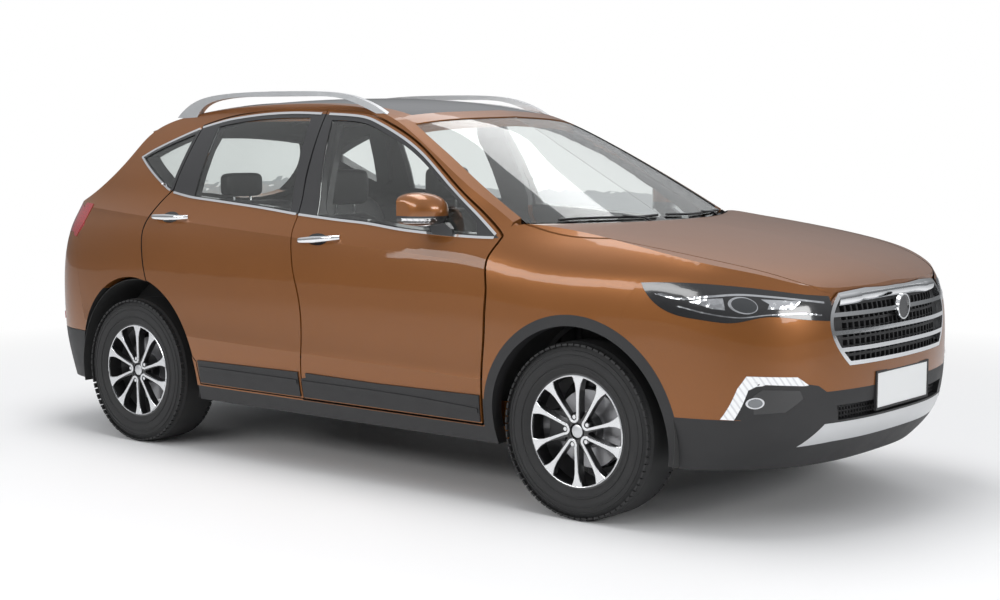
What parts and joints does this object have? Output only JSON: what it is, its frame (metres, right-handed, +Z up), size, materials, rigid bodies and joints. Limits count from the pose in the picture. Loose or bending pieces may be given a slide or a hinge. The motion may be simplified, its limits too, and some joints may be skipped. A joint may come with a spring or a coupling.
{
  "type": "crossover suv",
  "caption": "Five-door crossover family car with opening doors, hood and tailgate, steering front wheels and wheels that roll.",
  "frame": {"origin": "on the ground under the middle of the car", "axes": "+X forward, +Y to the left, +Z up"},
  "size_m": [4.5851, 1.95, 1.7021],
  "materials": {
    "paint": "copper brown metallic with clear coat",
    "black_plastic": "grained",
    "silver_paint": "satin silver",
    "bright_trim": "polished",
    "lamp_clear": "clear lens",
    "lamp_red": "red lens",
    "clear_glass": "clear",
    "tinted_glass": "tinted",
    "dark_glass": "nearly black",
    "underbody": "sealed underbody",
    "cast_metal": "cast",
    "chassis_metal": "coated",
    "tyre": "rubber",
    "alloy": "machined faces",
    "seat_leather": "stitched",
    "cabin_plastic": "soft touch",
    "plate_white": "blank"
  },
  "bodies": {
    "root": {"body_sides": "paint", "front_fenders": "paint", "headlamps": "lamp_clear", "front_bumper": "paint", "front_valance": "black_plastic", "skid_plate": "silver_paint", "grille": "black_plastic", "grille_trim": "bright_trim", "rear_bumper": "paint", "rear_valance": "black_plastic", "tail_lamps": "lamp_red", "lower_cladding": "black_plastic", "windscreen": "clear_glass", "roof_panel": "paint", "roof_glass": "dark_glass", "cowl": "black_plastic", "quarter_windows": "tinted_glass", "floor_pan": "underbody", "rear_wheelhouses": "underbody", "engine": "cast_metal", "front_suspension": "chassis_metal", "rear_suspension": "chassis_metal", "front_seats": "seat_leather", "rear_seat": "seat_leather", "dashboard": "cabin_plastic", "roof_rails": "silver_paint", "number_plate": "plate_white"},
    "hood": {"hood": "paint"},
    "tailgate": {"tailgate": "paint", "tailgate_glass": "tinted_glass"},
    "front_door_right": {"front_door_right": "paint", "front_door_glass_right": "clear_glass", "mirror_right": "paint"},
    "rear_door_right": {"rear_door_right": "paint", "rear_door_glass_right": "tinted_glass"},
    "knuckle_right": {"knuckle_right": "chassis_metal"},
    "wheel_front_right": {"tyre_front_right": "tyre", "rim_front_right": "alloy"},
    "wheel_rear_right": {"tyre_rear_right": "tyre", "rim_rear_right": "alloy"},
    "front_door_left": {"front_door_left": "paint", "front_door_glass_left": "clear_glass", "mirror_left": "paint"},
    "rear_door_left": {"rear_door_left": "paint", "rear_door_glass_left": "tinted_glass"},
    "knuckle_left": {"knuckle_left": "chassis_metal"},
    "wheel_front_left": {"tyre_front_left": "tyre", "rim_front_left": "alloy"},
    "wheel_rear_left": {"tyre_rear_left": "tyre", "rim_rear_left": "alloy"},
    "steering_wheel": {"steering_wheel": "cabin_plastic"}
  },
  "joints": [
    {"name": "front_door_right_swing", "type": "hinge", "parent": "root", "child": "front_door_right", "pos_m": [0.863, -0.893, 0.7], "axis": [0, 0, 1], "range_deg": [0, 65]},
    {"name": "front_door_left_swing", "type": "hinge", "parent": "root", "child": "front_door_left", "pos_m": [0.863, 0.893, 0.7], "axis": [0, 0, -1], "range_deg": [0, 65]},
    {"name": "rear_door_right_swing", "type": "hinge", "parent": "root", "child": "rear_door_right", "pos_m": [-0.233, -0.893, 0.7], "axis": [0, 0, 1], "range_deg": [0, 68]},
    {"name": "rear_door_left_swing", "type": "hinge", "parent": "root", "child": "rear_door_left", "pos_m": [-0.233, 0.893, 0.7], "axis": [0, 0, -1], "range_deg": [0, 68]},
    {"name": "hood_lift", "type": "hinge", "parent": "root", "child": "hood", "pos_m": [1.03, 0, 1.112], "axis": [0, -1, 0], "range_deg": [0, 50]},
    {"name": "tailgate_lift", "type": "hinge", "parent": "root", "child": "tailgate", "pos_m": [-1.43, 0, 1.593], "axis": [0, 1, 0], "range_deg": [0, 75]},
    {"name": "steer_right", "type": "hinge", "parent": "root", "child": "knuckle_right", "pos_m": [1.3375, -0.72, 0.352], "axis": [0, 0, 1], "range_deg": [-32, 32]},
    {"name": "steer_left", "type": "hinge", "parent": "root", "child": "knuckle_left", "pos_m": [1.3375, 0.72, 0.352], "axis": [0, 0, 1], "range_deg": [-32, 32]},
    {"name": "steering_wheel_turn", "type": "hinge", "parent": "root", "child": "steering_wheel", "pos_m": [0.43, 0.38, 0.93], "axis": [-0.9135, 0, 0.4067], "range_deg": [-480, 480]},
    {"name": "wheel_front_right_spin", "type": "hinge", "parent": "knuckle_right", "child": "wheel_front_right", "pos_m": [1.3375, -0.77, 0.352], "axis": [0, 1, 0], "continuous": true},
    {"name": "wheel_front_left_spin", "type": "hinge", "parent": "knuckle_left", "child": "wheel_front_left", "pos_m": [1.3375, 0.77, 0.352], "axis": [0, 1, 0], "continuous": true},
    {"name": "wheel_rear_right_spin", "type": "hinge", "parent": "root", "child": "wheel_rear_right", "pos_m": [-1.3375, -0.77, 0.352], "axis": [0, 1, 0], "continuous": true},
    {"name": "wheel_rear_left_spin", "type": "hinge", "parent": "root", "child": "wheel_rear_left", "pos_m": [-1.3375, 0.77, 0.352], "axis": [0, 1, 0], "continuous": true}
  ],
  "couplings": [
    {"joint": "steer_left", "follows": "steer_right", "ratio": 1},
    {"joint": "steering_wheel_turn", "follows": "steer_right", "ratio": 14}
  ]
}
